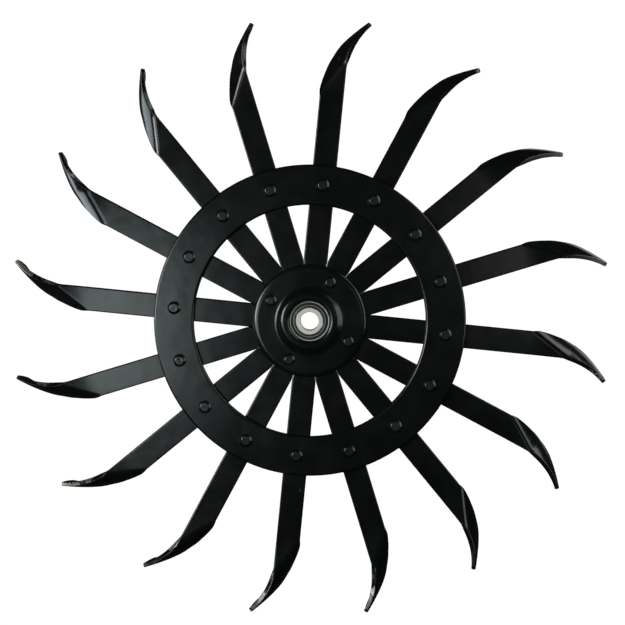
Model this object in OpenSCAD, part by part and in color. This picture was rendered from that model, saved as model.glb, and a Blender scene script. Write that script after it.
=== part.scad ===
// Rotary hoe wheel. Sixteen hooked spring-steel tines are riveted behind a stabiliser ring, and
// their wedge-shaped feet are clamped between two hub flanges that hold a sealed ball bearing.
// Frame: origin at the wheel's centre, axle along Y, front face towards -Y, +Z up, millimetres.
// Every module draws in wheel coordinates (z along the axle, front at +z), and on_axle() turns
// the result into that frame.

/* [Wheel] */
// Diameter over the tine tips
tip_circle_d = 533.4; // [480:0.1:660]
// Direction of the first tine, counter-clockwise from +X seen from the front
first_tine_angle = 61.9; // [0:0.1:90]

/* [Tines] */
// Width of the flat bar
tine_w = 21.2; // [17:0.1:26]
// Thickness of the flat bar
tine_t = 5; // [4:0.1:6.2]
// Bevel along the bar's edges
tine_bevel = 1; // [0.6:0.1:1.4]
// Play between neighbouring tine feet, and between the feet and the hub spigot
foot_play = 0.2; // [0.1:0.05:0.6]

/* [Tine hook] */
// Radius of the bend that turns the tip forward, at the hooked edge
hook_bend_r = 59; // [49:1:71]
// Angle that the hooked edge turns through
hook_angle = 46.5; // [38:0.5:56]
// Distance from the start of the fold to the start of the bend
fold_lead = 11; // [8:0.2:14]
// Angle of the diagonal fold, before the slower turn
fold_angle = 35; // [25:1:45]
// Length over which the fold is made
fold_len = 10; // [8:0.5:14]
// Length from the start of the fold until the bar stands square to the wheel
turn_len = 54; // [45:1:65]
// Slant of the fold line, as length along the bar per width across it
fold_skew = 1.5; // [0:0.1:1.8]
// How far the hooked edge stands forward at the tip
edge_rise = 6; // [0:0.2:8]
// How much shorter the rear corner of the tip is than the front one
tip_cut = 6; // [0:0.5:8]
// Thinning of the bar at the tip, as a share of its thickness
tip_thinning = 0.2; // [0:0.05:0.4]

/* [Stabiliser ring] */
// Outer diameter of the ring
ring_od = 276; // [230:1:300]
// Width of the ring, from its hole to its rim
ring_w = 35.5; // [30:0.5:42]
// Thickness of the ring plate
ring_t = 5; // [4:0.1:6]
// Bevel along the ring's edges
ring_bevel = 1.2; // [0.6:0.1:1.6]

/* [Hub flanges] */
// Thickness of a flange's flat plate
flange_t = 3.2; // [2.6:0.1:4]
// Rounding of the flange's rim
flange_rim_r = 2.4; // [1:0.1:2.5]
// Width of plate outside the rivet circle
flange_edge = 11.6; // [8:0.1:16]
// Width of plate between the rivet circle and the foot of the boss
rivet_land = 7.6; // [7:0.1:10]
// Width of the sloping side of the boss
boss_slope = 7.8; // [5:0.1:10]
// Wall of the boss outside the bearing
boss_wall = 3.2; // [2.4:0.1:4.5]
// Thickness of the lip that holds the bearing in
lip_t = 3.4; // [2.6:0.1:4]
// How far the lip reaches over the bearing's outer race
lip_reach = 2.6; // [1.8:0.1:3]
// Wall of the spigot that the tine feet stand against
spigot_wall = 4.4; // [3:0.1:5]

/* [Rivets] */
// Diameter of the rivet shanks
rivet_d = 8; // [6:0.1:9.6]
// Play of a rivet in its hole, on the diameter
rivet_play = 0.1; // [0.06:0.02:0.3]
// Diameter of the ring rivets' heads
ring_head_d = 11.6; // [11:0.1:14]
// Diameter of the hub rivets' heads
hub_head_d = 10.6; // [10.4:0.1:13]
// Height of the rivet heads
head_h = 2.4; // [1.6:0.1:3]

/* [Bearing] */
// Bore of the inner race
bore_d = 16.256; // [13.5:0.001:19.6]
// Outer diameter of the outer race
race_od = 40; // [36:0.1:48]
// Width of the outer race
outer_race_w = 12; // [11.6:0.1:14]
// Width of the inner race
inner_race_w = 14.3; // [14:0.1:18]
// Diameter of the balls
ball_d = 6.75; // [5.6:0.05:8.1]
// Number of balls
ball_count = 8; // [7:1:8]
// Running play between a ball and its grooves
ball_play = 0.04; // [0.02:0.01:0.08]
// Play between the outer race and the flanges' bore
race_play = 0.02; // [0.01:0.01:0.05]
// Gap between a seal and the inner race
seal_gap = 0.3; // [0.2:0.05:0.5]
// Thickness of the sheet that the ball cage is pressed from
cage_t = 0.8; // [0.6:0.05:1]

/* [Hidden] */
$fn = 96;
tine_count = 16;
hub_rivet_every = 4;

paint = [0.10, 0.11, 0.11];
steel = [0.78, 0.78, 0.76];
seal_black = [0.16, 0.16, 0.17];

// Stack of parts along the axle, measured from the middle of the wheel
tine_face = tine_t / 2;
flange_face = tine_face + flange_t;
race_face = outer_race_w / 2;
lip_face = race_face + lip_t;

// Radii of the hub, from the bearing outwards
seat_r = race_od / 2 + race_play;
mouth_r = race_od / 2 - lip_reach;
boss_r = race_od / 2 + boss_wall;
boss_foot_r = boss_r + boss_slope;
spigot_r = race_od / 2 + spigot_wall;
foot_r = spigot_r + foot_play;
hub_rivet_r = boss_foot_r + rivet_land;
flange_r = hub_rivet_r + flange_edge;

// Ring
ring_r = ring_od / 2;
ring_hole_r = ring_r - ring_w;
ring_rivet_r = ring_r - ring_w / 2;
rivet_hole_r = (rivet_d + rivet_play) / 2;

// Tine: the bar's edges are bevelled outside +edge_v and -edge_v, and the one at -edge_v hooks.
// The tip's outer corner lies on the tip circle, which sets where the bend starts.
edge_v = tine_w / 2 - tine_bevel;
tip_half_t = tine_t / 2 * (1 - tip_thinning);
tip_y = -edge_v - hook_bend_r * (1 - cos(hook_angle)) + tip_half_t * cos(hook_angle);
tip_x = sqrt(pow(tip_circle_d / 2, 2) - pow(tip_y, 2));
bend_start = tip_x - (hook_bend_r + tip_half_t) * sin(hook_angle);
fold_start = bend_start - fold_lead;
flat_end = fold_start - fold_skew * edge_v;
tip_l = bend_start + hook_bend_r * hook_angle * PI / 180;
tip_zone = 30;
across_steps = 4;
along_steps = 15;
across_step = 2 * edge_v / across_steps;

// Bearing
pitch_r = (bore_d + race_od) / 4;
inner_land_r = pitch_r - 2.06;
outer_land_r = pitch_r + 2.6;
groove_r = ball_d / 2 + ball_play;
pocket_r = ball_d / 2 + 0.12;
cage_half_w = 1.15;
pocket_pitch = 2 * pitch_r * sin(180 / ball_count);
cage_flat = pocket_pitch - 2 * (pocket_r + cage_t);
race_bevel = 0.5;
seal_t = 0.7;
seal_step = 0.45;
seal_bite = 0.5;
seal_face = race_face - 0.35;
seal_r = outer_land_r + seal_bite;
seal_fold_r = (inner_land_r + outer_land_r) / 2;

function tine_name(i) = str("tine_", i < 10 ? "0" : "", i);
function clamp01(x) = min(1, max(0, x));
function ease(x) = let (c = clamp01(x)) c * c * (3 - 2 * c);

// Points of an arc in the r-z plane, centre c, radius r, from angle a to angle b
function arc(c, r, a, b, steps) =
    [for (k = [0 : steps]) let (t = a + (b - a) * k / steps) c + r * [cos(t), sin(t)]];

// Direction of the hooked edge at length l, as the angle it has turned towards clockwise
function edge_turn(l) = min(hook_angle, max(0, (l - bend_start) / hook_bend_r * 180 / PI));
// Place of the hooked edge's centre at length l
function edge_pos(l) =
    let (b = edge_turn(l))
    [l <= bend_start ? l : bend_start + hook_bend_r * sin(b),
     -edge_v - hook_bend_r * (1 - cos(b)),
     edge_rise * ease((l - flat_end) / (tip_l - flat_end))];
// In-plane direction across the bar, away from the hooked edge
function across_dir(l) = let (b = edge_turn(l)) [sin(b), cos(b), 0];
// Tilt of the bar at length l and width v: a quick diagonal fold, then a slow turn to 90 degrees
function tilt(l, v) =
    let (u = l + fold_skew * v - fold_start)
    fold_angle * ease(u / fold_len) + (90 - fold_angle) * clamp01(u / turn_len);
function along_face(l, a) = cos(a) * across_dir(l) - [0, 0, sin(a)];
function face_normal(l, a) = sin(a) * across_dir(l) + [0, 0, cos(a)];
// Share of the way through the tip zone at length l
function tip_share(l) = ease((l - tip_l + tip_zone) / tip_zone);
// Length at width step j: the tip is cut shorter towards the rear edge
function cut_length(l, j) = l - tip_cut * tip_share(l) * pow(j / across_steps, 2);
function half_t(l) = tine_t / 2 * (1 - tip_thinning * tip_share(l));
// Middle of the bar's thickness at width step j, added up from the hooked edge
function mid_point(l, j) =
    j == 0 ? edge_pos(l)
    : mid_point(l, j - 1) + across_step * along_face(l, tilt(l, (j - 0.5) * across_step - edge_v));
// Point of the bar's surface at width step j, set out along the face and square to it
function bar_point(l, j, out, off) =
    let (c = cut_length(l, j), a = tilt(c, j * across_step - edge_v))
    mid_point(c, j) + out * along_face(c, a) + off * face_normal(c, a);
function bar_section(l) =
    let (half = half_t(l), last = across_steps)
    concat(
        [for (j = [0 : last]) bar_point(l, j, 0, half)],
        [for (side = [1, -1]) bar_point(l, last, tine_bevel, side * (half - tine_bevel))],
        [for (j = [last : -1 : 0]) bar_point(l, j, 0, -half)],
        [for (side = [-1, 1]) bar_point(l, 0, -tine_bevel, side * (half - tine_bevel))]
    );

module on_axle() {
    rotate([90, 0, 0]) children();
}

module at_tine(i) {
    rotate([0, 0, first_tine_angle - (i - 1) * 360 / tine_count]) children();
}

// The end caps are cut into triangles between the front and the rear face, as the tip isn't flat
module swept_bar() {
    step = (tip_l - flat_end) / along_steps;
    lengths = concat([foot_r / 2], [for (k = [0 : along_steps]) flat_end + k * step]);
    rings = [for (l = lengths) bar_section(l)];
    n = len(rings[0]);
    end = (len(lengths) - 1) * n;
    m = across_steps;
    cap = concat(
        [for (j = [0 : m - 1]) [j, j + 1, 2 * m + 3 - j]],
        [for (j = [0 : m - 1]) [j + 1, 2 * m + 2 - j, 2 * m + 3 - j]],
        [[m, m + 1, m + 3], [m + 1, m + 2, m + 3], [2 * m + 3, 2 * m + 4, 0], [2 * m + 4, 2 * m + 5, 0]]
    );
    polyhedron(
        points = [for (ring = rings) each ring],
        faces = concat(
            [for (t = cap) [t[2], t[1], t[0]]],
            [for (s = [0 : n : end - n], p = [0 : n - 1]) [s + p, s + (p + 1) % n, s + n + p]],
            [for (s = [0 : n : end - n], p = [0 : n - 1]) [s + (p + 1) % n, s + n + (p + 1) % n, s + n + p]],
            [for (t = cap) [end + t[0], end + t[1], end + t[2]]]
        )
    );
}

// Sector between the neighbouring tines, which makes the foot a wedge
module foot_sector() {
    half = 180 / tine_count;
    side_play = foot_play / 2 / cos(half);
    far = tip_circle_d;
    linear_extrude(height = 4 * tine_w, center = true)
        polygon([
            [foot_r, side_play - foot_r * tan(half)],
            [far, side_play - far * tan(half)],
            [far, far * tan(half) - side_play],
            [foot_r, foot_r * tan(half) - side_play]
        ]);
}

module rivet_hole(r) {
    translate([r, 0, 0]) cylinder(r = rivet_hole_r, h = 4 * lip_face, center = true);
}

module tine(i) {
    color(paint) on_axle() at_tine(i) difference() {
        intersection() {
            swept_bar();
            foot_sector();
        }
        rivet_hole(ring_rivet_r);
        if ((i - 1) % hub_rivet_every == 0) rivet_hole(hub_rivet_r);
    }
}

module tine_ring() {
    back = tine_face;
    front = tine_face + ring_t;
    color(paint) on_axle() difference() {
        rotate_extrude() polygon([
            [ring_hole_r, back],
            [ring_r, back],
            [ring_r, front - ring_bevel],
            [ring_r - ring_bevel, front],
            [ring_hole_r + ring_bevel, front],
            [ring_hole_r, front - ring_bevel]
        ]);
        for (i = [1 : tine_count]) at_tine(i) rivet_hole(ring_rivet_r);
    }
}

// Low head with a bevelled rim, standing on z = 0
module rivet_head(d) {
    rim_h = 0.35 * head_h;
    top_r = 0.34 * d;
    rotate_extrude() polygon([[0, 0], [d / 2, 0], [d / 2, rim_h], [top_r, head_h], [0, head_h]]);
}

module rivet(front, back, head_d) {
    translate([0, 0, back]) cylinder(d = rivet_d, h = front - back);
    translate([0, 0, front]) rivet_head(head_d);
    translate([0, 0, back]) mirror([0, 0, 1]) rivet_head(head_d);
}

module ring_rivets() {
    color(paint) on_axle()
        for (i = [1 : tine_count])
            at_tine(i) translate([ring_rivet_r, 0, 0]) rivet(tine_face + ring_t, -tine_face, ring_head_d);
}

module hub_rivets() {
    color(paint) on_axle()
        for (i = [1 : hub_rivet_every : tine_count])
            at_tine(i) translate([hub_rivet_r, 0, 0]) rivet(flange_face, -flange_face, hub_head_d);
}

// Flange profile in the r-z plane: plate, S-shaped boss side, lip over the race, seat and spigot
module flange_profile() {
    rise = lip_face - flange_face;
    mouth_round = 0.6 * lip_t;
    side = [for (k = [1 : 7]) [boss_foot_r - boss_slope * k / 8, flange_face + rise * ease(k / 8)]];
    polygon(concat(
        [[seat_r, foot_play / 2], [spigot_r, foot_play / 2]],
        [[spigot_r, tine_face], [flange_r, tine_face]],
        arc([flange_r - flange_rim_r, flange_face - flange_rim_r], flange_rim_r, 0, 90, 5),
        [[boss_foot_r, flange_face]],
        side,
        [[boss_r, lip_face]],
        arc([mouth_r + mouth_round, lip_face - mouth_round], mouth_round, 90, 180, 5),
        [[mouth_r, race_face], [seat_r, race_face]]
    ));
}

// Flange on the front side, or on the rear side when side is -1
module hub_flange(side) {
    color(paint) on_axle() difference() {
        scale([1, 1, side]) rotate_extrude() flange_profile();
        for (i = [1 : hub_rivet_every : tine_count]) at_tine(i) rivet_hole(hub_rivet_r);
    }
}

module hub_flange_front() {
    hub_flange(1);
}

module hub_flange_rear() {
    hub_flange(-1);
}

// Outline of a race between radii a and b, w wide, with bevelled corners
module race_block(a, b, w) {
    half = w / 2;
    e = race_bevel;
    polygon([
        [a + e, -half], [b - e, -half], [b, e - half], [b, half - e],
        [b - e, half], [a + e, half], [a, half - e], [a, e - half]
    ]);
}

module ball_groove() {
    translate([pitch_r, 0]) circle(r = groove_r);
}

module bearing_outer_race() {
    seal_slot_z = seal_face - seal_step - seal_t;
    color(steel) on_axle() rotate_extrude() difference() {
        race_block(outer_land_r, race_od / 2, outer_race_w);
        ball_groove();
        for (side = [-1, 1])
            translate([0, side > 0 ? seal_slot_z : -seal_slot_z - seal_t])
                square([seal_r, seal_t]);
    }
}

module bearing_inner_race() {
    color(steel) on_axle() rotate_extrude() difference() {
        race_block(bore_d / 2, inner_land_r, inner_race_w);
        ball_groove();
    }
}

module at_balls(offset = 0) {
    for (k = [0 : ball_count - 1])
        rotate([0, 0, (k + offset) * 360 / ball_count]) translate([pitch_r, 0, 0]) children();
}

module bearing_balls() {
    color(steel) on_axle() at_balls() sphere(d = ball_d);
}

// One half of the ribbon cage: flat lands between half-round pockets
module cage_half() {
    reach = pocket_r + cage_t;
    difference() {
        intersection() {
            union() {
                rotate_extrude() translate([pitch_r - cage_half_w, 0]) square([2 * cage_half_w, cage_t]);
                at_balls() sphere(r = reach);
            }
            rotate_extrude() translate([pitch_r - cage_half_w, 0]) square([2 * cage_half_w, reach]);
        }
        at_balls() sphere(r = pocket_r);
        at_balls(0.5) cylinder(d = 0.4 * cage_flat, h = 4 * cage_t, center = true);
    }
}

module bearing_cage_front() {
    color(steel) on_axle() cage_half();
}

module bearing_cage_rear() {
    color(steel) on_axle() mirror([0, 0, 1]) cage_half();
}

module bearing_cage_rivets() {
    color(steel) on_axle() at_balls(0.5) {
        cylinder(d = 0.4 * cage_flat, h = 2 * cage_t, center = true);
        for (side = [-1, 1])
            translate([0, 0, side * 1.25 * cage_t])
                cylinder(d = 0.7 * cage_flat, h = 0.5 * cage_t, center = true);
    }
}

// Dished seal: its raised inner part ends just short of the inner race
module seal_profile() {
    inner = inner_land_r + seal_gap;
    fold = seal_fold_r;
    top = seal_face;
    back = top - seal_t;
    polygon([
        [inner, back], [fold - seal_step / 2, back], [fold + seal_step / 2, back - seal_step],
        [seal_r, back - seal_step], [seal_r, top - seal_step], [fold + seal_step, top - seal_step],
        [fold, top], [inner, top]
    ]);
}

module bearing_seal_front() {
    color(seal_black) on_axle() rotate_extrude() seal_profile();
}

module bearing_seal_rear() {
    color(seal_black) on_axle() mirror([0, 0, 1]) rotate_extrude() seal_profile();
}

for (i = [1 : tine_count]) tine(i);
tine_ring();
ring_rivets();
hub_flange_front();
hub_flange_rear();
hub_rivets();
bearing_outer_race();
bearing_inner_race();
bearing_balls();
bearing_cage_front();
bearing_cage_rear();
bearing_cage_rivets();
bearing_seal_front();
bearing_seal_rear();
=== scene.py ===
"""Looks of a rotary hoe wheel: sixteen hooked tines, a riveted ring and a flanged bearing hub.

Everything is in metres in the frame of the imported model: the wheel's centre is the origin, the
axle runs along Y and the front faces -Y. Shapes are worked out in wheel coordinates, which are
x to the right, y up and z to the front, and to_frame() turns them into that frame.
"""

import bpy
import numpy as np
from bpy.props import FloatProperty, FloatVectorProperty, IntProperty, PointerProperty
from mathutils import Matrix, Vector


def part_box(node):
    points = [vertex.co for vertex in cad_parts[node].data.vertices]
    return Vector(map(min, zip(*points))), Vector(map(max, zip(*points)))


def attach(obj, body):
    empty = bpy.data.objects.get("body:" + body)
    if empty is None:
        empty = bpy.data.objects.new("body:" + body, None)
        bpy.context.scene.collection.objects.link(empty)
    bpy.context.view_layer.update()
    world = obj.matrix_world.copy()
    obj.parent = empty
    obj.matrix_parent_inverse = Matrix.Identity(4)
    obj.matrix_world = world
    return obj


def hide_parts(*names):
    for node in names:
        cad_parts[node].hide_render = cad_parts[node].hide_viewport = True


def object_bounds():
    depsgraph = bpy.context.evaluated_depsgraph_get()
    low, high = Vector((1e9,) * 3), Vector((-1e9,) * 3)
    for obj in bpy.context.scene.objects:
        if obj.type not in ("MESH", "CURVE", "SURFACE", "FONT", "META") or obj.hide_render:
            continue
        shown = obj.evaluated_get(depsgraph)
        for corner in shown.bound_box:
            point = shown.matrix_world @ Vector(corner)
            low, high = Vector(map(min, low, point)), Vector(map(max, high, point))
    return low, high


bl_info = {
    "name": "Rotary Hoe Wheel",
    "version": (1, 0, 0),
    "blender": (4, 5, 0),
    "location": "View3D > Sidebar > Hoe Wheel",
    "description": "Builds the visible pieces and finishes of a rotary hoe wheel around its packed model",
    "category": "Object",
}

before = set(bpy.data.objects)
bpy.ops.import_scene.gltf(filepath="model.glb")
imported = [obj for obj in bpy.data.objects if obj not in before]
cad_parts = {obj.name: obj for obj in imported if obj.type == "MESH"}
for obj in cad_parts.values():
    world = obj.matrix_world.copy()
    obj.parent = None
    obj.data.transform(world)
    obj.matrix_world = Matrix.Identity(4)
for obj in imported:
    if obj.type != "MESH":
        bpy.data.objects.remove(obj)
CAD_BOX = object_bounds()

MM = 0.001
TINE_COUNT = 16
# One tine in four is riveted to the hub
HUB_RIVET_EVERY = 4
# How far the paint is worn off the hooked edge of each tine, from none to all of it
EDGE_WEAR = (0.55, 1.0, 0.8, 0.35, 0.2, 0.35, 0.45, 0.4, 0.55, 0.65, 0.7, 1.0, 0.75, 0.4, 0.3, 0.2)
# Points that fall in the same cell of this size are one point
WELD_CELL = 0.002 * MM
# How far a piece may stand out of its CAD box, and how far it may fall short of it
BOX_MARGIN = 0.4 * MM
BOX_SHORTFALL = 1.2 * MM


def linear(hex_colour):
    """Linear RGB of an sRGB hex colour: c / 12.92 below 0.04045, else ((c + 0.055) / 1.055) ^ 2.4."""
    srgb = np.array([int(hex_colour[k:k + 2], 16) for k in (1, 3, 5)]) / 255
    return tuple(np.where(srgb <= 0.04045, srgb / 12.92, ((srgb + 0.055) / 1.055) ** 2.4).tolist())


def outer_radius(node):
    """Half the width of a round node's box."""
    low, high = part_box(node)
    return (high.x - low.x) / 2


def front_height(node):
    """How far a node reaches in front of the middle of the wheel."""
    return -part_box(node)[0].y


def rear_height(node):
    """How far a node reaches behind the middle of the wheel."""
    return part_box(node)[1].y


def length(name, text, metres):
    """A length setting with its name, description and default in metres."""
    return FloatProperty(name=name, description=text, default=metres, unit="LENGTH", precision=5)


def degrees(name, text, value):
    """An angle setting with its name, description and default in degrees."""
    return FloatProperty(name=name, description=text, default=np.radians(value), subtype="ANGLE")


def colour(name, text, hex_colour):
    """A colour setting with its name, description and default as an sRGB hex value."""
    return FloatVectorProperty(
        name=name, description=text, subtype="COLOR", size=3, min=0, max=1, default=linear(hex_colour))


class TineSizes(bpy.types.PropertyGroup):
    """Sizes of the hooked tines."""
    tip_radius: length("Tip radius", "Distance of the tine tips from the axle", 266.7 * MM)
    first_angle: degrees(
        "First tine", "Direction of the first tine, counter-clockwise from +X seen from the front", 61.9)
    width: length("Width", "Width of the flat bar", 21.2 * MM)
    thickness: length("Thickness", "Thickness of the flat bar", 5 * MM)
    foot_radius: length("Foot radius", "Distance of the tine feet from the axle", 24.6 * MM)
    foot_play: length("Foot play", "Play between neighbouring tine feet", 0.2 * MM)
    bend_radius: length("Bend radius", "Radius of the bend at the hooked edge", 59 * MM)
    hook_angle: degrees("Hook angle", "Angle that the hooked edge turns through", 46.5)
    fold_lead: length("Fold lead", "Distance from the start of the fold to the start of the bend", 11 * MM)
    fold_angle: degrees("Fold angle", "Angle of the diagonal fold before the slower turn", 35)
    fold_length: length("Fold length", "Length over which the fold is made", 10 * MM)
    turn_length: length(
        "Turn length", "Length from the fold until the bar stands square to the wheel", 54 * MM)
    fold_skew: FloatProperty(
        name="Fold skew", description="Slant of the fold line across the bar", default=1.5)
    edge_rise: length("Edge rise", "How far the hooked edge stands forward at the tip", 6 * MM)
    edge_round: length("Edge rounding", "Rounding of the bar's edges", 1.0 * MM)
    tip_cut: length("Tip cut", "How much shorter the rear corner of the tip is", 6 * MM)
    tip_thinning: FloatProperty(
        name="Tip thinning", description="Thinning of the bar at the tip, as a share of its thickness",
        default=0.2)
    corner: length("Corner", "Rounding of the tip's corners", 1.5 * MM)
    end_round: length("End rounding", "Rounding of the rim of the tip", 1.1 * MM)
    roughness: length("Forging depth", "Depth of the hammer marks near the tip", 0.03 * MM)
    seed: IntProperty(name="Seed", description="Seed of the small differences between tines", default=7)


class RingSizes(bpy.types.PropertyGroup):
    """Sizes of the stabiliser ring and its rivets."""
    radius: length("Radius", "Outer radius of the ring", outer_radius("tine_ring"))
    width: length("Width", "Width of the ring plate", 35.5 * MM)
    front: length("Front", "Height of the ring's front face", front_height("tine_ring"))
    back: length("Back", "Height of the ring's back face", -rear_height("tine_ring"))
    edge_round: length("Edge rounding", "Rounding of the front edges", 1.9 * MM)
    rivet_circle: length("Rivet circle", "Radius of the circle of rivets", 120.25 * MM)
    head_radius: length("Head radius", "Radius of a rivet head", 5.8 * MM)
    head_height: length("Head height", "Height of a rivet head", 2.4 * MM)
    shank_radius: length("Shank radius", "Radius of a rivet shank", 4 * MM)
    seed: IntProperty(name="Seed", description="Seed of the small differences between heads", default=3)


class HubSizes(bpy.types.PropertyGroup):
    """Sizes of the hub flanges and their rivets."""
    radius: length("Radius", "Outer radius of a flange", outer_radius("hub_flange_front"))
    rim_round: length("Rim rounding", "Height of the rounding of the flange's rim", 2.4 * MM)
    rim_reach: length("Rim reach", "Width of the rounding of the flange's rim", 4.6 * MM)
    inner_face: length("Inner face", "Height of the flange's face on the tines", 2.5 * MM)
    plate_face: length("Plate face", "Height of the flange's flat face", 5.7 * MM)
    lip_face: length("Lip face", "Height of the lip over the bearing", front_height("hub_flange_front"))
    boss_foot: length("Boss foot", "Radius where the plate starts to rise", 31 * MM)
    boss_top: length("Boss top", "Radius where the boss is level again", 23.2 * MM)
    mouth: length("Mouth", "Radius of the opening in front of the bearing", 17.4 * MM)
    mouth_round: length("Mouth rounding", "Rounding of the mouth's edge", 3.2 * MM)
    seat: length("Seat", "Radius of the seat of the bearing", 20.02 * MM)
    spigot: length("Spigot", "Radius of the spigot that the tine feet stand against", 24.4 * MM)
    rivet_circle: length("Rivet circle", "Radius of the circle of rivets", 38.6 * MM)
    head_radius: length("Head radius", "Radius of a rivet head", 5.3 * MM)
    head_height: length("Head height", "Height of a rivet head", 2.4 * MM)
    shank_radius: length("Shank radius", "Radius of a rivet shank", 4 * MM)
    seed: IntProperty(name="Seed", description="Seed of the small differences between heads", default=11)


class BearingSizes(bpy.types.PropertyGroup):
    """Sizes of the sealed ball bearing."""
    bore: length("Bore", "Radius of the bore", 8.128 * MM)
    land: length("Land", "Radius of the inner race's land", 12.004 * MM)
    half_width: length("Half width", "Half the width of the inner race", front_height("bearing_inner_race"))
    bevel: length("Bevel", "Bevel of the inner race's edges", 0.5 * MM)
    pitch: length("Pitch radius", "Radius of the circle of balls", 14.064 * MM)
    groove: length("Groove radius", "Radius of the ball groove", 3.415 * MM)
    seal_inner: length("Seal hole", "Radius of the hole in a seal", 12.304 * MM)
    seal_fold: length("Seal fold", "Radius where a seal steps down", 14.334 * MM)
    seal_outer: length("Seal radius", "Outer radius of a seal", outer_radius("bearing_seal_front"))
    seal_face: length("Seal face", "Height of a seal's face", front_height("bearing_seal_front"))
    seal_thickness: length("Seal thickness", "Thickness of a seal", 0.7 * MM)
    seal_step: length("Seal step", "Depth of the step in a seal", 0.45 * MM)
    bead_width: length("Bead width", "Width of the bare bead beside a seal's step", 0.75 * MM)
    bead_height: length("Bead height", "Height of the bead on a seal", 0.15 * MM)


class FinishColours(bpy.types.PropertyGroup):
    """Colours of the finishes."""
    enamel: colour("Enamel", "Black enamel", "#0d0e0f")
    enamel_dust: colour("Dusty enamel", "Enamel dulled by handling", "#131415")
    rubbed_enamel: colour("Rubbed enamel", "Enamel rubbed grey on the rivet heads", "#34373a")
    bare_steel: colour("Bare steel", "Steel where the enamel has chipped", "#9a958c")
    race_steel: colour("Race steel", "Ground bearing steel", "#f0eee8")
    race_shadow: colour("Race stain", "Oil film and fine nicks on the race", "#6f6a62")
    ball_steel: colour("Ball steel", "Polished ball steel", "#dcdcda")
    cage_steel: colour("Cage steel", "Pressed sheet steel of the cage", "#a9a69e")
    seal_rubber: colour("Seal rubber", "Moulded nitrile rubber", "#151517")
    floor: colour("Floor", "Pale studio floor", "#ffffff")


class StageSizes(bpy.types.PropertyGroup):
    """Camera, floor and lights."""
    azimuth: degrees("Azimuth", "Camera azimuth", 1.5)
    elevation: degrees("Elevation", "Camera elevation", 3.9)
    distance: length("Distance", "Distance of the camera from its target", 1.369)
    focal_length: FloatProperty(name="Focal length", description="Focal length in millimetres", default=88.9)
    aim_right: length("Aim right", "Camera target to the right of the axle", 2.5 * MM)
    aim_up: length("Aim up", "Camera target above the axle", 7.3 * MM)
    floor_gap: length("Floor gap", "Gap between the wheel and the floor", 1 * MM)


def to_frame(points):
    """Wheel coordinates (x, y, z) become frame coordinates (x, -z, y)."""
    return np.stack([points[..., 0], -points[..., 2], points[..., 1]], axis=-1)


def turned(points, angle):
    """Points turned counter-clockwise about the axle by an angle: x cos - y sin, x sin + y cos."""
    x, y, z = np.moveaxis(points, -1, 0)
    return np.stack([
        x * np.cos(angle) - y * np.sin(angle), x * np.sin(angle) + y * np.cos(angle), z], axis=-1)


def ease(x):
    """Smooth step: 3 x^2 - 2 x^3 with x held between 0 and 1."""
    x = np.clip(x, 0, 1)
    return x * x * (3 - 2 * x)


def tine_angles(first):
    """Directions of the tines, clockwise from the first one."""
    return first - np.arange(TINE_COUNT) * 2 * np.pi / TINE_COUNT


def grid_triangles(rows, columns, close_rows):
    """Two triangles for each cell of a grid whose columns join up, and its rows too if close_rows."""
    row = np.arange(rows if close_rows else rows - 1)[:, None]
    column = np.arange(columns)[None, :]
    below, after = (row + 1) % rows, (column + 1) % columns
    corners = [
        row * columns + column, row * columns + after, below * columns + after, below * columns + column]
    a, b, c, d = (np.broadcast_to(k, (len(row), columns)).ravel() for k in corners)
    return np.concatenate([np.stack([a, b, c], 1), np.stack([a, c, d], 1)])


def welded(points, triangles):
    """Merges points that fall in the same cell and drops triangles that lose their area. Also gives the
    number that each kept point had."""
    keys = np.round(points / WELD_CELL).astype(np.int64)
    _, first, index = np.unique(keys, axis=0, return_index=True, return_inverse=True)
    triangles = index.ravel()[triangles]
    a, b, c = triangles.T
    return points[first], triangles[(a != b) & (b != c) & (c != a)], first


def outward(points, triangles):
    """Turns all triangles round if the volume they enclose, the sum of a . (b x c) / 6, is negative."""
    a, b, c = (points[triangles[:, k]] for k in range(3))
    volume = np.einsum("ij,ij->", a, np.cross(b, c))
    return triangles if volume > 0 else triangles[:, ::-1]


def make_piece(name, shells, material, body, nodes, attributes=None):
    """One object from closed shells of (points in wheel coordinates, triangles), with smooth shading."""
    all_points, all_triangles, kept, offset, source = [], [], [], 0, 0
    for points, triangles in shells:
        flat = to_frame(points.reshape(-1, 3))
        merged, faces, first = welded(flat, triangles)
        all_points.append(merged)
        all_triangles.append(outward(merged, faces) + offset)
        kept.append(first + source)
        offset += len(merged)
        source += len(flat)
    points, triangles = np.concatenate(all_points), np.concatenate(all_triangles)
    mesh = bpy.data.meshes.new(name)
    mesh.vertices.add(len(points))
    mesh.vertices.foreach_set("co", points.astype(np.float32).ravel())
    mesh.loops.add(triangles.size)
    mesh.loops.foreach_set("vertex_index", triangles.astype(np.int32).ravel())
    mesh.polygons.add(len(triangles))
    mesh.polygons.foreach_set("loop_start", np.arange(0, triangles.size, 3, dtype=np.int32))
    mesh.update(calc_edges=True)
    mesh.validate()
    mesh.polygons.foreach_set("use_smooth", np.ones(len(mesh.polygons), dtype=bool))
    for key, values in (attributes or {}).items():
        layer = mesh.attributes.new(key, "FLOAT", "POINT")
        layer.data.foreach_set("value", values.ravel()[np.concatenate(kept)].astype(np.float32))
    mesh.materials.append(material)
    piece = bpy.data.objects.new(name, mesh)
    bpy.context.scene.collection.objects.link(piece)
    check_size(piece, points, nodes)
    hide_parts(*nodes)
    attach(piece, body)
    return piece


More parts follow.
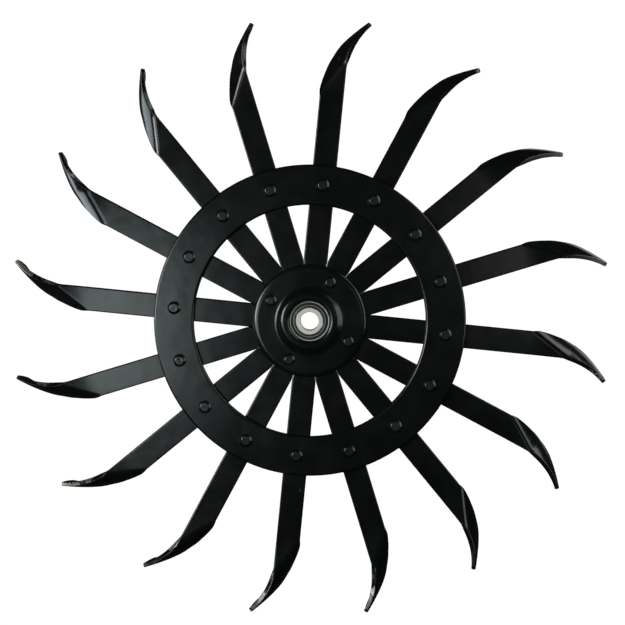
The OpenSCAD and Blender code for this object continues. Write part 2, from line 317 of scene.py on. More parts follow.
def check_size(piece, points, nodes):
    """Raises an error if a piece leaves the box of the CAD nodes it stands for, or falls short of it."""
    boxes = [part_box(node) for node in nodes]
    low = np.min([list(box[0]) for box in boxes], axis=0)
    high = np.max([list(box[1]) for box in boxes], axis=0)
    out = max((low - points.min(0)).max(), (points.max(0) - high).max())
    short = max((points.min(0) - low).max(), (high - points.max(0)).max())
    if out > BOX_MARGIN or short > BOX_SHORTFALL:
        raise RuntimeError(
            f"{piece.name} is {out / MM:.2f} mm out of its CAD box and {short / MM:.2f} mm short of it")


def rounded_profile(corners, radii, steps=8, hold=0.25 * MM):
    """Closed outline in the r-z plane with each corner rounded by an arc, and a point just outside each arc
    so that shading stays flat on the flat stretches. An arc takes up at most 0.8 of half its shorter side."""
    corners = np.asarray(corners, float)
    outline = []
    for corner, before, after, radius in zip(corners, np.roll(corners, 1, 0), np.roll(corners, -1, 0), radii):
        if radius == 0:
            outline.append(corner[None])
            continue
        to_before, to_after = before - corner, after - corner
        room = min(np.linalg.norm(to_before), np.linalg.norm(to_after)) / 2
        to_before, to_after = to_before / np.linalg.norm(to_before), to_after / np.linalg.norm(to_after)
        half = np.arccos(np.clip(to_before @ to_after, -1, 1)) / 2
        tangent = min(radius / np.tan(half), 0.8 * room)
        radius = tangent * np.tan(half)
        inward = to_before + to_after
        centre = corner + inward / np.linalg.norm(inward) * radius / np.sin(half)
        start, end = corner + tangent * to_before, corner + tangent * to_after
        turn = np.linspace(0, 1, steps)[:, None]
        chord = (1 - turn) * start + turn * end - centre
        arc = centre + chord / np.linalg.norm(chord, axis=1, keepdims=True) * radius
        gap = min(hold, 0.15 * room)
        outline += [(start + gap * to_before)[None], arc, (end + gap * to_after)[None]]
    return np.concatenate(outline)


def lathe(outline, segments):
    """Closed ring: an outline in the r-z plane is carried round the axle, x = r cos t and y = r sin t, in a
    number of segments."""
    turn = np.linspace(0, 2 * np.pi, segments, endpoint=False)[:, None]
    radius, height = outline[None, :, 0], outline[None, :, 1]
    points = np.stack(np.broadcast_arrays(radius * np.cos(turn), radius * np.sin(turn), height), axis=-1)
    return points, grid_triangles(segments, len(outline), True)


def smooth_noise(rng, rows, columns, row_cells, column_cells):
    """Soft random field between 0 and 1: a coarse random grid blended with eased weights. Columns join up."""
    coarse = rng.random((row_cells + 2, column_cells))
    u = np.linspace(0, row_cells, rows)[:, None]
    v = np.linspace(0, column_cells, columns, endpoint=False)[None, :]
    i, j = u.astype(int), v.astype(int)
    s, t = ease(u - i), ease(v - j)
    near, far = j % column_cells, (j + 1) % column_cells
    upper = coarse[i, near] * (1 - t) + coarse[i, far] * t
    lower = coarse[i + 1, near] * (1 - t) + coarse[i + 1, far] * t
    return upper * (1 - s) + lower * s


def bar_section(edge, half, face_points, corner_points):
    """Outline of the flat bar, as four arrays: place across, core height, and the two parts of the outward
    direction. It runs along the front face, round the far edge, back along the rear face and round the
    hooked edge. Each corner is an arc about its core point."""
    across = edge * np.concatenate([[-1, -0.98], np.linspace(-0.94, 0.94, face_points), [0.98, 1]])
    turn = np.linspace(0, np.pi / 2, corner_points + 1)[1:]
    flank = half * np.array([0.9, 0.4, -0.4, -0.9])
    flat, level = np.zeros_like(across), np.ones_like(across)
    side_place = np.full(2 * corner_points + 4, edge)
    side_core = np.concatenate([np.full(corner_points, half), flank, np.full(corner_points, -half)])
    side_out = np.concatenate([np.sin(turn), np.ones(4), np.sin(turn)[::-1]])
    side_up = np.concatenate([np.cos(turn), np.zeros(4), -np.cos(turn)[::-1]])
    place = np.concatenate([across, side_place, across[::-1], -side_place])
    core = np.concatenate([half * level, side_core, -half * level, side_core[::-1]])
    out = np.concatenate([flat, side_out, flat, -side_out[::-1]])
    up = np.concatenate([level, side_up, -level, side_up[::-1]])
    return place, core, out, up


def tine_surface(sizes, rng, edge_wear):
    """One tine along +X as a closed grid, and how worn each point is.

    A flat bar section with rounded corners is carried along the bar. Its hooked edge runs straight, then
    round an arc, and rises a little. Across the bar the middle layer is added up from that edge in steps
    that tilt forward: first through a quick diagonal fold, then slowly until the bar stands square to the
    wheel. Towards the tip the bar gets thinner, and its rear corner is cut shorter.
    """
    foot_end = 56 * MM
    thin_zone, corner_zone, worked_zone, worn_tip = 30 * MM, 14 * MM, 10 * MM, 3 * MM
    round_ = sizes.edge_round
    edge = sizes.width / 2 - round_
    hook, bend = sizes.hook_angle, sizes.bend_radius
    tip_half = sizes.thickness / 2 * (1 - sizes.tip_thinning)
    tip_y = -edge - bend * (1 - np.cos(hook)) + tip_half * np.cos(hook)
    tip_x = np.sqrt(sizes.tip_radius ** 2 - tip_y ** 2)
    bend_start = tip_x - (bend + tip_half) * np.sin(hook)
    fold_start = bend_start - sizes.fold_lead
    flat_end = fold_start - sizes.fold_skew * edge
    tip = bend_start + bend * hook
    # Each tine's fold is up to 1 mm and 2 degrees away from the others
    fold_shift = rng.uniform(-1.0, 1.0) * MM
    fold_angle = sizes.fold_angle + np.radians(rng.uniform(-2, 2))

    # Rows along the bar: the closed foot, the wedge, the flat bar, the hook, and the closed tip
    place, core, out, up = bar_section(edge, sizes.thickness / 2 - round_, 19, 5)
    ends = np.linspace(0, np.pi / 2, 8)[1:]
    end = sizes.end_round
    along = np.concatenate([
        np.full(3, sizes.foot_radius), np.linspace(sizes.foot_radius, foot_end, 12)[1:],
        np.linspace(foot_end, flat_end, 14)[1:], np.linspace(flat_end, tip - end, 120)[1:],
        tip - end + end * np.sin(ends), np.full(4, tip)])
    rows, columns = len(along), len(place)
    half = sizes.thickness / 2 * (1 - sizes.tip_thinning * ease((along - tip + thin_zone) / thin_zone))
    inset = np.concatenate([
        [half[0], 0.6 * half[0], 0.2 * half[0]], np.zeros(rows - 3 - len(ends) - 4), end * (1 - np.cos(ends)),
        end + (half[-1] - end) * np.array([0.08, 0.4, 0.75, 1.0])])

    # The tip's corners are rounded, its rim is a little ragged, and its rear corner is cut shorter
    past = np.clip(np.abs(place + round_ * out) - (edge + round_ - sizes.corner), 0, sizes.corner)
    corner = sizes.corner - np.sqrt(np.maximum(sizes.corner ** 2 - past ** 2, 0))
    ragged = smooth_noise(rng, 2, columns, 1, 9)[0] * 0.25 * MM
    pull = ease((along - (tip - corner_zone)) / corner_zone)[:, None]
    rear = ease((along - tip + thin_zone) / thin_zone)[:, None] * ((place + edge) / (2 * edge)) ** 2
    station = along[:, None] - pull * (corner + ragged) - sizes.tip_cut * rear

    # Hammer marks where the bar was worked hot
    worked = ease((station - flat_end) / (tip - flat_end - worked_zone))
    coarse = smooth_noise(rng, rows, columns, 22, 9)
    fine = smooth_noise(rng, rows, columns, 50, 24)
    dents = worked * (0.9 * coarse + 0.1 * fine) * sizes.roughness
    shrink = np.minimum(inset[:, None] + dents, half[:, None])

    def tilt(station, place):
        fade = 1 - ease((station - bend_start) / (tip - bend_start))
        past_fold = station + sizes.fold_skew * place - fold_start + fold_shift * fade
        slow = np.clip(past_fold / sizes.turn_length, 0, 1)
        return fold_angle * ease(past_fold / sizes.fold_length) + (np.pi / 2 - fold_angle) * slow

    # The middle layer, added up across the bar from its hooked edge
    steps = 14
    place = np.broadcast_to(place, station.shape)
    step_places = -edge + (place[..., None] + edge) * (np.arange(steps) + 0.5) / steps
    step_tilts = tilt(station[..., None], step_places)
    run = (place + edge) * np.cos(step_tilts).mean(-1)
    drop = (place + edge) * np.sin(step_tilts).mean(-1)
    turn = np.clip((station - bend_start) / bend, 0, hook)
    hooked = np.stack([
        np.where(station <= bend_start, station, bend_start + bend * np.sin(turn)),
        -edge - bend * (1 - np.cos(turn)),
        sizes.edge_rise * ease((station - flat_end) / (tip - flat_end))], axis=-1)
    across = np.stack([np.sin(turn), np.cos(turn), np.zeros_like(turn)], axis=-1)
    forward = np.array([0, 0, 1.0])
    middle = hooked + run[..., None] * across - drop[..., None] * forward

    # The section stands on the middle layer, and closes where the inset takes up its thickness
    angle = tilt(station, place)[..., None]
    along_face = np.cos(angle) * across - np.sin(angle) * forward
    normal = np.sin(angle) * across + np.cos(angle) * forward
    arc = np.maximum(round_ - shrink, 0)
    thinner = (half[:, None] - round_) / (sizes.thickness / 2 - round_)
    closing = 1 - np.clip((shrink - round_) / np.maximum(half[:, None] - round_, 1e-6), 0, 1)
    height = core * thinner * closing + arc * up
    points = middle + (arc * out)[..., None] * along_face + height[..., None] * normal

    # The foot is a wedge with play on both sides
    half_sector = np.pi / TINE_COUNT
    room = points[..., 0] * np.tan(half_sector) - sizes.foot_play / 2 / np.cos(half_sector)
    points[..., 1] *= np.minimum(1, room / (sizes.width / 2))
    worn = worked * np.abs(out) + ease((station - (tip - worn_tip)) / worn_tip)
    return points, grid_triangles(rows, columns, False), edge_wear * np.clip(worn, 0, 1)


def rivet_shell(centre, front, back, sizes, rng, segments=48):
    """One rivet: a low set head, a shank and a second head. Head radius and height vary a little round it.
    Gives the closed shell, and how rubbed each of its points is."""
    head, height, shank = sizes.head_radius, sizes.head_height, sizes.shank_radius
    crown, shoulder, side = 0.12 * head, 0.66 * head, 0.42 * height
    shoulder_round, side_round = 1.5 * MM, 0.7 * MM
    oval, dish, set_back = 0.015, 0.04 * MM, 0.05 * MM
    any_turn = 0, 6.28
    outline = rounded_profile(
        [[crown, front + height], [shoulder, front + height], [head, front + side], [head, front],
         [shank, front], [shank, back], [head, back], [head, back - side],
         [shoulder, back - height], [crown, back - height]],
        [0, shoulder_round, side_round, 0, 0, 0, 0, side_round, shoulder_round, 0], steps=6, hold=0.15 * MM)
    outline = np.concatenate([[[0, front + height]], outline, [[0, back - height]]])
    turn = np.linspace(0, 2 * np.pi, segments, endpoint=False)[:, None]
    radius, level = outline[None, :, 0], outline[None, :, 1]
    out_of_round = 1 - oval * (radius > shank * 0.5) * (0.5 + 0.5 * np.cos(2 * turn + rng.uniform(*any_turn)))
    lean, _ = rng.uniform(-0.08, 0.0, 2) * MM
    top = np.abs(level) > max(abs(front), abs(back)) + 0.3 * height
    dished = dish * np.cos(np.pi * np.clip(radius / (0.7 * head), 0, 1)) * rng.uniform(-1, 0.2)
    leaning = lean * (1 + np.cos(turn + rng.uniform(*any_turn))) / 2
    lift = np.where(top, dished + leaning - set_back, 0)
    radius_now = radius * out_of_round
    points = np.stack(np.broadcast_arrays(
        centre[0] + radius_now * np.cos(turn), centre[1] + radius_now * np.sin(turn),
        level + np.sign(level) * lift), axis=-1)
    rubbed = np.broadcast_to(top * ease((0.68 * head - radius) / (0.08 * head)), points.shape[:2])
    # The outline starts and ends on the axis, so nothing joins its last point to its first
    triangles = grid_triangles(segments, len(outline), True)
    column = triangles % len(outline)
    wraps = (column.max(1) == len(outline) - 1) & (column.min(1) == 0)
    return (points, triangles[~wraps]), rubbed


def rivet_set(sizes, angles, front, back):
    """Shells of the rivets that stand on a circle at the given angles, and how rubbed each point is."""
    rng = np.random.default_rng(sizes.seed)
    centres = sizes.rivet_circle * np.stack([np.cos(angles), np.sin(angles)], axis=1)
    shells, rubbed = zip(*(rivet_shell(centre, front, back, sizes, rng) for centre in centres))
    return shells, {"rubbed": np.concatenate([share.ravel() for share in rubbed])}


def flange_outline(sizes):
    """Closed outline of a hub flange: plate, S-shaped side of the boss, lip, seat and spigot."""
    rear, seat_end, mouth_end, hold = 0.1 * MM, 6 * MM, 6.3 * MM, 0.3 * MM
    rise = sizes.lip_face - sizes.plate_face
    share = np.linspace(0, 1, 25)[1:-1]
    side = np.stack([
        sizes.boss_foot + (sizes.boss_top - sizes.boss_foot) * share,
        sizes.plate_face + rise * ease(share)], axis=1)
    quarter = np.linspace(0, np.pi / 2, 9)
    rim = np.stack([
        sizes.radius - sizes.rim_reach * (1 - np.cos(quarter)),
        sizes.plate_face - sizes.rim_round * (1 - np.sin(quarter))], axis=1)
    mouth = np.stack([
        sizes.mouth + sizes.mouth_round * (1 - np.sin(quarter)),
        sizes.lip_face - sizes.mouth_round * (1 - np.cos(quarter))], axis=1)
    return np.concatenate([
        [[sizes.spigot, rear], [sizes.spigot, sizes.inner_face], [sizes.radius - hold, sizes.inner_face],
         [sizes.radius, sizes.inner_face], [sizes.radius, sizes.inner_face + rear]],
        rim,
        [[sizes.radius - sizes.rim_reach - hold, sizes.plate_face],
         [sizes.boss_foot + hold, sizes.plate_face]],
        side,
        [[sizes.boss_top, sizes.lip_face], [sizes.mouth + sizes.mouth_round + hold, sizes.lip_face]],
        mouth,
        [[sizes.mouth, mouth_end], [sizes.mouth, seat_end], [sizes.seat, seat_end], [sizes.seat, rear]]])


def add_node(tree, kind, settings=None, **inputs):
    """Adds a shader node, sets its properties, and gives inputs a value or a link. An input is called by its
    name with _ for a space, or by its number as _0, _1 and so on."""
    node = tree.nodes.new("ShaderNode" + kind)
    for key, value in (settings or {}).items():
        setattr(node, key, value)
    for key, value in inputs.items():
        key = int(key[1:]) if key[0] == "_" and key[1:].isdigit() else key.replace("_", " ")
        if isinstance(value, bpy.types.NodeSocket):
            tree.links.new(value, node.inputs[key])
        else:
            node.inputs[key].default_value = value
    return node


def attribute(tree, name):
    """A share that a piece carries at each of its points. It is 0 on pieces that carry none."""
    return add_node(tree, "Attribute", {"attribute_name": name}).outputs["Fac"]


def noise(tree, place, waves, detail, roughness=0.5):
    """Noise with a number of waves to the metre."""
    return add_node(
        tree, "TexNoise", Vector=place, Scale=waves, Detail=detail, Roughness=roughness).outputs["Fac"]


def ranged(tree, value, low, high, to_low=0.0, to_high=1.0):
    """Carries a value from the range low to high over to another range, and holds it inside."""
    return add_node(
        tree, "MapRange", Value=value, From_Min=low, From_Max=high, To_Min=to_low, To_Max=to_high).outputs[0]


def blended(tree, share, first, second):
    """A colour that goes from the first to the second as the share goes from 0 to 1."""
    return add_node(tree, "Mix", {"data_type": "RGBA"}, _0=share, _6=first, _7=second).outputs[2]


def arithmetic(tree, operation, *values):
    """A math operation on values or links."""
    inputs = {f"_{number}": value for number, value in enumerate(values)}
    return add_node(tree, "Math", {"operation": operation}, **inputs).outputs[0]


def relief(tree, height, depth, under=None, invert=False):
    """The normal of a surface with a relief of a depth in metres, on its own or on top of another relief."""
    inputs = {} if under is None else {"Normal": under}
    return add_node(
        tree, "Bump", {"invert": invert}, Height=height, Distance=depth, Strength=1.0, **inputs).outputs[0]


def start_material(name):
    """An empty node material and its tree."""
    material = bpy.data.materials.new(name)
    material.use_nodes = True
    material.node_tree.nodes.clear()
    return material, material.node_tree


def object_place(tree):
    """Places on a piece, in metres."""
    return add_node(tree, "TexCoord").outputs["Object"]


def end_material(tree, shader):
    """Joins a shader to the material's output."""
    output = tree.nodes.new("ShaderNodeOutputMaterial")
    tree.links.new(shader.outputs[0], output.inputs["Surface"])


def rgba(rgb):
    """A colour with full opacity."""
    return (*rgb, 1.0)


def black_enamel(colours):
    """Dipped black enamel on rolled spring steel. The paint's orange peel and the mill scale under it break
    up the reflections, handling leaves duller patches, and chips at the edges show bare steel."""
    edge_share, stretch_share, chip_from, chip_to, chip_roughness = 0.45, 0.75, 0.77, 0.79, 0.26
    material, tree = start_material("black_enamel")
    place = object_place(tree)
    wear, rubbed = attribute(tree, "wear"), attribute(tree, "rubbed")
    # Orange peel of dipped paint is 1.5 to 2 mm from crest to crest
    peel = noise(tree, place, 520.0, 2.0, 0.45)
    # Rolling and thick paint leave soft waves about 16 mm long
    wave = noise(tree, place, 62.0, 1.0, 0.4)
    # Forging scale is about 3 mm
    scale = noise(tree, place, 300.0, 3.0, 0.6)
    # Patches dulled by handling are about 25 mm
    dull = noise(tree, place, 38.0, 4.0, 0.6)
    # Chips are about 2 mm, and worn stretches of the hooked edge are 15 to 20 mm long
    speck = noise(tree, place, 420.0, 4.0, 0.65)
    stretch = noise(tree, place, 55.0, 1.0)
    ragged = add_node(tree, "Mix", _0=stretch_share, _2=speck, _3=stretch).outputs[0]
    chip = ranged(tree, arithmetic(tree, "MULTIPLY_ADD", wear, edge_share, ragged), chip_from, chip_to)
    paint = blended(
        tree, ranged(tree, dull, 0.42, 0.7), rgba(colours.enamel), rgba(colours.enamel_dust))
    face = blended(tree, arithmetic(tree, "MULTIPLY", rubbed, dull), paint, rgba(colours.rubbed_enamel))
    base = blended(tree, chip, face, rgba(colours.bare_steel))
    rough = ranged(tree, dull, 0.3, 0.72, 0.17, 0.22)
    waved = relief(tree, wave, 0.12 * MM)
    peeled = relief(tree, peel, 0.004 * MM, waved)
    scaled = relief(tree, arithmetic(tree, "MULTIPLY", wear, scale), 0.02 * MM, peeled)
    shader = add_node(
        tree, "BsdfPrincipled", Base_Color=base, Metallic=chip, IOR=1.5, Normal=scaled,
        Roughness=arithmetic(tree, "MULTIPLY_ADD", chip, chip_roughness, rough))
    end_material(tree, shader)
    return material


def ground_steel(name, colours, steel, roughness):
    """Hardened and ground bearing steel, with its lowest and highest roughness. Grinding leaves fine rings
    round the axle, and handling leaves small nicks and a thin oil film, so duller spots break the bright
    metal."""
    material, tree = start_material(name)
    place = object_place(tree)
    flat = add_node(tree, "VectorMath", {"operation": "MULTIPLY"}, _0=place, _1=(1.0, 0.0, 1.0))
    radius = add_node(tree, "VectorMath", {"operation": "LENGTH"}, _0=flat.outputs[0])
    # Grinding lines are far finer than 0.2 mm; drawn at 0.2 mm so that they show
    rings = add_node(
        tree, "TexNoise", {"noise_dimensions": "1D"}, W=radius.outputs["Value"], Scale=5000.0, Detail=2.0)
    # Nicks are about 1 mm, and patches of oil film about 6 mm
    nick = ranged(tree, noise(tree, place, 900.0, 3.0, 0.6), 0.66, 0.72, 0.0, 0.7)
    film = noise(tree, place, 160.0, 2.0)
    ground = relief(tree, rings.outputs["Fac"], 0.006 * MM)
    shader = add_node(
        tree, "BsdfPrincipled", Metallic=1.0, Roughness=ranged(tree, film, 0.3, 0.7, *roughness),
        Base_Color=blended(tree, nick, rgba(steel), rgba(colours.race_shadow)),
        Normal=relief(tree, nick, 0.03 * MM, ground, invert=True))
    end_material(tree, shader)
    return material


def pressed_steel(colours):
    """Cold-rolled sheet steel, pressed. It is duller than the races, with faint blotches from the press."""
    material, tree = start_material("pressed_sheet_steel")
    # Blotches are about 2.5 mm
    blotch = noise(tree, object_place(tree), 400.0, 3.0)
    shader = add_node(
        tree, "BsdfPrincipled", Metallic=1.0, Roughness=ranged(tree, blotch, 0.3, 0.7, 0.3, 0.48),
        Base_Color=blended(tree, blotch, rgba(colours.cage_steel), rgba(colours.race_shadow)),
        Normal=relief(tree, blotch, 0.01 * MM))
    end_material(tree, shader)
    return material


def nitrile_rubber(colours):
    """Nitrile rubber moulded on a steel insert. It is black and satin, with a fine moulded grain, and the
    insert's bare edge shows as a thin dull ring."""
    material, tree = start_material("moulded_nitrile_rubber")
    place = object_place(tree)
    bare = attribute(tree, "bare")
    # The mould's spark-eroded grain is about 0.3 mm, and the film of dust lies in patches of about 5 mm
    grain = noise(tree, place, 3200.0, 2.0)
    film = noise(tree, place, 220.0, 3.0)
    rubber = blended(tree, film, rgba(colours.seal_rubber), rgba(colours.enamel_dust))
    shader = add_node(
        tree, "BsdfPrincipled", Metallic=bare, Roughness=ranged(tree, film, 0.3, 0.7, 0.32, 0.5), IOR=1.5,
        Base_Color=blended(tree, bare, rubber, rgba(colours.bare_steel)),
        Normal=relief(tree, grain, 0.012 * MM))
    end_material(tree, shader)
    return material


def finish(name):
    """A finish by name, made once."""
    known = bpy.data.materials.get(name)
    if known:
        return known
    colours = bpy.context.scene.hoe_colours
    if name == "black_enamel":
        return black_enamel(colours)
    if name == "ground_bearing_steel":
        return ground_steel(name, colours, colours.race_steel, (0.62, 0.72))
    if name == "lapped_ball_steel":
        return ground_steel(name, colours, colours.ball_steel, (0.06, 0.16))
    if name == "pressed_sheet_steel":
        return pressed_steel(colours)
    return nitrile_rubber(colours)


class HOEWHEEL_OT_tines(bpy.types.Operator):
    """Makes the sixteen forged tines"""
    bl_idname = "hoewheel.tines"
    bl_label = "Tines"

    def execute(self, context):
        sizes = context.scene.hoe_tines
        rng = np.random.default_rng(sizes.seed)
        for number, angle in enumerate(tine_angles(sizes.first_angle), start=1):
            node = f"tine_{number:02d}"
            points, triangles, wear = tine_surface(sizes, rng, EDGE_WEAR[number - 1])
            height = points[..., 2]
            forward = min(1, front_height(node) / height.max())
            backward = min(1, -rear_height(node) / height.min())
            points[..., 2] = np.where(height > 0, height * forward, height * backward)
            make_piece(
                f"forged_tine_{number:02d}", [(turned(points, angle), triangles)], finish("black_enamel"),
                "wheel", [node], {"wear": wear})
        return {"FINISHED"}


class HOEWHEEL_OT_ring(bpy.types.Operator):
    """Makes the stabiliser ring"""
    bl_idname = "hoewheel.ring"
    bl_label = "Stabiliser ring"

    def execute(self, context):
        sizes = context.scene.hoe_ring
        hole = sizes.radius - sizes.width
        outline = rounded_profile(
            [[hole, sizes.back], [sizes.radius, sizes.back],
             [sizes.radius, sizes.front], [hole, sizes.front]],
            [0.4 * MM, 0.4 * MM, sizes.edge_round, sizes.edge_round])
        make_piece(
            "stabiliser_ring", [lathe(outline, segments=256)], finish("black_enamel"), "wheel",
            ["tine_ring"])
        return {"FINISHED"}


class HOEWHEEL_OT_ring_rivets(bpy.types.Operator):
    """Makes the sixteen rivets of the ring"""
    bl_idname = "hoewheel.ring_rivets"
    bl_label = "Ring rivets"

    def execute(self, context):
        scene = context.scene
        angles = tine_angles(scene.hoe_tines.first_angle)
        back = -scene.hoe_tines.thickness / 2
        shells, rubbed = rivet_set(scene.hoe_ring, angles, scene.hoe_ring.front, back)
        make_piece(
            "ring_rivet_set", shells, finish("black_enamel"), "wheel", ["ring_rivets"], rubbed)
        return {"FINISHED"}


class HOEWHEEL_OT_hub(bpy.types.Operator):
    """Makes the front and rear hub flanges"""
    bl_idname = "hoewheel.hub"
    bl_label = "Hub flanges"

    def execute(self, context):
        outline = flange_outline(context.scene.hoe_hub)
        for side, name in ((1, "front"), (-1, "rear")):
            points, triangles = lathe(outline, segments=224)
            points[..., 2] *= side
            make_piece(
                f"pressed_flange_{name}", [(points, triangles)], finish("black_enamel"), "wheel",
                [f"hub_flange_{name}"])
        return {"FINISHED"}


class HOEWHEEL_OT_hub_rivets(bpy.types.Operator):
    """Makes the four rivets of the hub"""
    bl_idname = "hoewheel.hub_rivets"
    bl_label = "Hub rivets"

    def execute(self, context):
        scene = context.scene
        angles = tine_angles(scene.hoe_tines.first_angle)[::HUB_RIVET_EVERY]
        face = scene.hoe_hub.plate_face
        shells, rubbed = rivet_set(scene.hoe_hub, angles, face, -face)
        make_piece(
            "hub_rivet_set", shells, finish("black_enamel"), "wheel", ["hub_rivets"], rubbed)
        return {"FINISHED"}


class HOEWHEEL_OT_inner_race(bpy.types.Operator):
    """Makes the bearing's inner race"""
    bl_idname = "hoewheel.inner_race"
    bl_label = "Inner race"

    def execute(self, context):
        sizes = context.scene.hoe_bearing
        half, bevel = sizes.half_width, sizes.bevel
        depth = np.sqrt(sizes.groove ** 2 - (sizes.pitch - sizes.land) ** 2)
        reach = np.arcsin(depth / sizes.groove)
        sweep = np.linspace(reach, -reach, 15)
        groove = np.stack([sizes.pitch - sizes.groove * np.cos(sweep), sizes.groove * np.sin(sweep)], axis=1)
        front = rounded_profile(
            [[sizes.bore, 0], [sizes.bore, half - bevel], [sizes.bore + bevel, half],
             [sizes.land - bevel, half], [sizes.land, half - bevel], [sizes.land, 0]],
            [0, 0.1 * MM, 0.12 * MM, 0.12 * MM, 0.12 * MM, 0], steps=4, hold=0.1 * MM)
        # The groove takes the place of the land's middle, and the bore runs straight through
        front = front[(front[:, 1] > depth) | (front[:, 0] < sizes.bore + bevel / 2)]
        front = front[front[:, 1] > 0.1 * MM]
        rear = front[::-1] * [1, -1]
        outline = np.concatenate([front, groove, rear])
        make_piece(
            "ground_inner_race", [lathe(outline, segments=160)], finish("ground_bearing_steel"), "axle_race",
            ["bearing_inner_race"])
        return {"FINISHED"}


class HOEWHEEL_OT_seals(bpy.types.Operator):
    """Makes the front and rear bearing seals"""
    bl_idname = "hoewheel.seals"
    bl_label = "Seals"

    def execute(self, context):
        sizes = context.scene.hoe_bearing
        top, thick, step, fold = sizes.seal_face, sizes.seal_thickness, sizes.seal_step, sizes.seal_fold
        bead, low = fold - sizes.bead_width, top - sizes.bead_height
        outline = rounded_profile(
            [[sizes.seal_inner, top - thick], [fold - step / 2, top - thick],
             [fold + step / 2, top - thick - step], [sizes.seal_outer, top - thick - step],
             [sizes.seal_outer, top - step], [fold + step, top - step], [fold, top], [bead, top],
             [bead - sizes.bead_height, low], [sizes.seal_inner, low]],
            np.array([0.1, 0.1, 0.1, 0.1, 0.1, 0.2, 0.15, 0.1, 0.05, 0.2]) * MM, steps=5, hold=0.08 * MM)
        for side, name in ((1, "front"), (-1, "rear")):
            points, triangles = lathe(outline, segments=144)
            bare = ease((points[..., 2] - low) / (top - low))
            points[..., 2] *= side
            make_piece(
                f"moulded_seal_{name}", [(points, triangles)], finish("moulded_nitrile_rubber"), "wheel",
                [f"bearing_seal_{name}"], {"bare": bare})
        return {"FINISHED"}


class HOEWHEEL_OT_inner_bearing(bpy.types.Operator):
    """Gives the bearing parts behind the seals their finish"""
    bl_idname = "hoewheel.inner_bearing"
    bl_label = "Balls, cage and outer race"

    def execute(self, context):
        finishes = {
            "bearing_outer_race": "ground_bearing_steel", "bearing_balls": "lapped_ball_steel",
            "bearing_cage_front": "pressed_sheet_steel", "bearing_cage_rear": "pressed_sheet_steel",
            "bearing_cage_rivets": "pressed_sheet_steel"}
        for node, name in finishes.items():
            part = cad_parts[node]
            if not part.material_slots:
                raise RuntimeError(f"{node} has no material slot")
            for material_slot in part.material_slots:
                material_slot.material = finish(name)
        return {"FINISHED"}


class HOEWHEEL_OT_stage(bpy.types.Operator):
    """Makes the floor, the camera and the lights"""
    bl_idname = "hoewheel.stage"
    bl_label = "Stage"

    def execute(self, context):
        scene, sizes = context.scene, context.scene.hoe_stage
        add_camera(scene, sizes)
        add_floor(scene, sizes)
        add_world(scene)
        for light in LIGHTS:
            add_light(scene, *light)
        return {"FINISHED"}


# Colours of the light panels
COOL, BLUISH, NEUTRAL = (0.84, 1.0, 0.98), (0.82, 0.92, 1.0), (1.0, 1.0, 1.0)
# Name, place, target, width and height in metres, power in watts, colour
LIGHTS = (
    ("soft_panel_left", (-0.67, -1.35, -0.12), (-0.15, 0.0, 0.0), 0.8, 0.33, 3.1, COOL),
    ("key_front_left", (-0.95, -1.05, 0.15), (0.0, 0.0, 0.0), 0.5, 0.5, 8.5, NEUTRAL),
    ("soft_front_right", (0.4, -1.35, 0.06), (0.15, 0.0, 0.05), 0.22, 0.3, 0.17, NEUTRAL),
    ("panel_left", (-1.1, 0.27, -0.16), (-0.2, 0.0, 0.12), 0.9, 0.6, 5.0, BLUISH),
    ("panel_high_right", (0.93, -0.1, 0.68), (0.15, 0.0, 0.0), 0.6, 0.7, 3.2, NEUTRAL),
    ("soft_panel_right", (1.1, -0.5, 0.15), (0.0, 0.0, 0.0), 0.6, 0.8, 3.0, COOL),
    ("soft_panel_back", (0.75, 1.5, 0.55), (0.0, 0.0, 0.0), 1.1, 0.9, 2.2, NEUTRAL),
)
# Strength of the floor's and the backdrop's own light, and radius of the backdrop in metres
FLOOR_GLOW = 1.05
DOME_RADIUS = 9.0
# The light that comes from all round
WORLD_TINT = (0.9, 0.96, 1.0, 1.0)
WORLD_STRENGTH = 0.014


def add_camera(scene, sizes):
    """A camera on a sphere round its target, at the stage's azimuth and elevation."""
    aim = Vector((sizes.aim_right, 0, sizes.aim_up))
    level = np.cos(sizes.elevation)
    towards = Vector((np.sin(sizes.azimuth) * level, -np.cos(sizes.azimuth) * level, np.sin(sizes.elevation)))
    camera = bpy.data.objects.new("stage_camera", bpy.data.cameras.new("stage_camera"))
    camera.data.lens = sizes.focal_length
    camera.data.clip_start = 0.01
    camera.location = aim + sizes.distance * towards
    camera.rotation_euler = (-towards).to_track_quat("-Z", "Y").to_euler()
    scene.collection.objects.link(camera)
    scene.camera = camera


def add_floor(scene, sizes):
    """A pale floor just under the wheel that meets a pale dome, both evenly lit so that no edge shows."""
    material, tree = start_material("pale_floor")
    glow = add_node(tree, "Emission", Color=rgba(scene.hoe_colours.floor), Strength=FLOOR_GLOW)
    end_material(tree, glow)
    level = float(CAD_BOX[0][2]) - sizes.floor_gap
    turn = np.linspace(0, 2 * np.pi, 96, endpoint=False)[None, :]
    rise = np.linspace(0, np.pi / 2, 24)[:, None]
    span = DOME_RADIUS * np.cos(rise)
    dome = np.stack(np.broadcast_arrays(
        span * np.cos(turn), span * np.sin(turn), level + DOME_RADIUS * np.sin(rise)), -1)
    rings = np.linspace(0, DOME_RADIUS, 6)[:, None]
    floor = np.stack(np.broadcast_arrays(rings * np.cos(turn), rings * np.sin(turn), level), -1)
    for name, points in (("pale_floor", floor), ("pale_backdrop", dome)):
        rows, columns = points.shape[:2]
        merged, triangles, _ = welded(points.reshape(-1, 3), grid_triangles(rows, columns, False))
        mesh = bpy.data.meshes.new(name)
        mesh.from_pydata(merged.tolist(), [], triangles.tolist())
        mesh.materials.append(material)
        stage = bpy.data.objects.new(name, mesh)
        scene.collection.objects.link(stage)
        stage.visible_diffuse = stage.visible_glossy = stage.visible_shadow = False


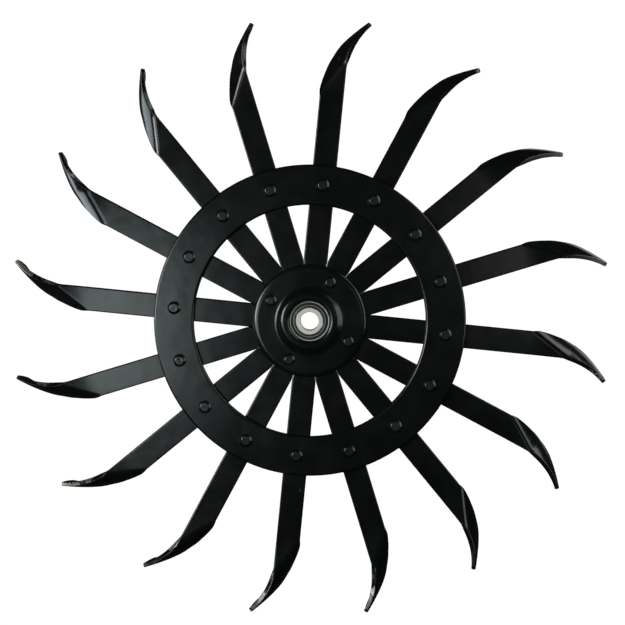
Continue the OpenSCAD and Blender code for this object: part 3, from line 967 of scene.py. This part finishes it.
def add_world(scene):
    """A dim, slightly cool light from all round, and colours shown as they are."""
    world = bpy.data.worlds.new("dim_studio")
    world.use_nodes = True
    background = world.node_tree.nodes["Background"]
    background.inputs["Color"].default_value = WORLD_TINT
    background.inputs["Strength"].default_value = WORLD_STRENGTH
    scene.world = world
    scene.view_settings.view_transform = "Standard"


def add_light(scene, name, place, target, width, height, power, tint):
    """A rectangular area light that faces its target and isn't seen by the camera."""
    data = bpy.data.lights.new(name, "AREA")
    data.shape = "RECTANGLE"
    data.size, data.size_y, data.energy, data.color = width, height, power, tint
    light = bpy.data.objects.new(name, data)
    light.location = place
    light.rotation_euler = (Vector(target) - Vector(place)).to_track_quat("-Z", "Y").to_euler()
    light.visible_camera = False
    scene.collection.objects.link(light)


STEPS = (
    HOEWHEEL_OT_tines, HOEWHEEL_OT_ring, HOEWHEEL_OT_ring_rivets, HOEWHEEL_OT_hub, HOEWHEEL_OT_hub_rivets,
    HOEWHEEL_OT_inner_race, HOEWHEEL_OT_seals, HOEWHEEL_OT_inner_bearing, HOEWHEEL_OT_stage)

SETTINGS = {
    "hoe_tines": TineSizes, "hoe_ring": RingSizes, "hoe_hub": HubSizes, "hoe_bearing": BearingSizes,
    "hoe_colours": FinishColours, "hoe_stage": StageSizes}


class HOEWHEEL_PT_panel(bpy.types.Panel):
    """Lists the pieces and their settings"""
    bl_idname = "HOEWHEEL_PT_panel"
    bl_label = "Rotary Hoe Wheel"
    bl_space_type = "VIEW_3D"
    bl_region_type = "UI"
    bl_category = "Hoe Wheel"

    def draw(self, context):
        for step in STEPS:
            self.layout.operator(step.bl_idname)
        for key, group in SETTINGS.items():
            box = self.layout.box()
            settings = getattr(context.scene, key)
            for name in group.__annotations__:
                box.prop(settings, name)


def register():
    for group in (*SETTINGS.values(), *STEPS, HOEWHEEL_PT_panel):
        bpy.utils.register_class(group)
    for key, group in SETTINGS.items():
        setattr(bpy.types.Scene, key, PointerProperty(type=group))


def unregister():
    for key in SETTINGS:
        delattr(bpy.types.Scene, key)
    for group in (HOEWHEEL_PT_panel, *reversed(STEPS), *reversed(SETTINGS.values())):
        bpy.utils.unregister_class(group)


def main():
    register()
    for step in STEPS:
        group, name = step.bl_idname.split(".")
        getattr(getattr(bpy.ops, group), name)()


if __name__ == "__main__":
    main()
